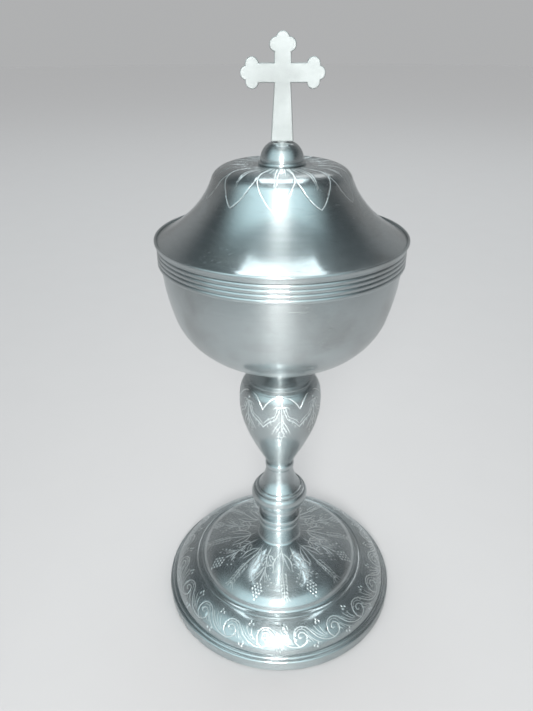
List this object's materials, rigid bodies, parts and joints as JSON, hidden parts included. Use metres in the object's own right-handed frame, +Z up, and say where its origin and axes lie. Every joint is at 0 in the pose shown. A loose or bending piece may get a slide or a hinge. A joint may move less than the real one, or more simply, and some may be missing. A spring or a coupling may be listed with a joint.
{
  "type": "ciborium",
  "caption": "Covered cup on a knopped stem with a domed round foot. Its cross-topped lid rests in the reeded rim of the bowl and lifts straight off.",
  "frame": {"origin": "centre of the circle on which the foot stands", "axes": "+Z up along the stem, towards the cross; X runs along the cross's arms and -Y is the front"},
  "size_m": [0.115, 0.115, 0.2604],
  "materials": {
    "silver_plate": "silver plate over brass, polished, with fine turning lines and light wear",
    "gilt_silver_plate": "silver plate outside, polished; gilt inside the cup",
    "brass_fitting": "bare brass, dull"
  },
  "bodies": {
    "base": {"foot_rim_band": "silver_plate", "foot_shell": "silver_plate", "foot_collar": "silver_plate", "lower_knop": "silver_plate", "neck_ring": "silver_plate", "urn_knop": "silver_plate", "urn_cap": "silver_plate", "bowl_neck": "silver_plate", "bowl_boss": "silver_plate", "bowl": "gilt_silver_plate", "bowl_rim_band": "silver_plate", "tie_rod": "brass_fitting", "foot_washer": "brass_fitting", "foot_nut": "brass_fitting"},
    "lid": {"lid_rim_band": "silver_plate", "lid_bezel": "silver_plate", "lid_shell": "silver_plate", "lid_boss_ring": "silver_plate", "lid_boss": "silver_plate", "cross": "silver_plate", "cross_washer": "brass_fitting", "cross_nut": "brass_fitting"}
  },
  "joints": [
    {"name": "lid_lift", "type": "slide", "parent": "base", "child": "lid", "axis": [0, 0, 1], "range_m": [0, 0.08]}
  ]
}
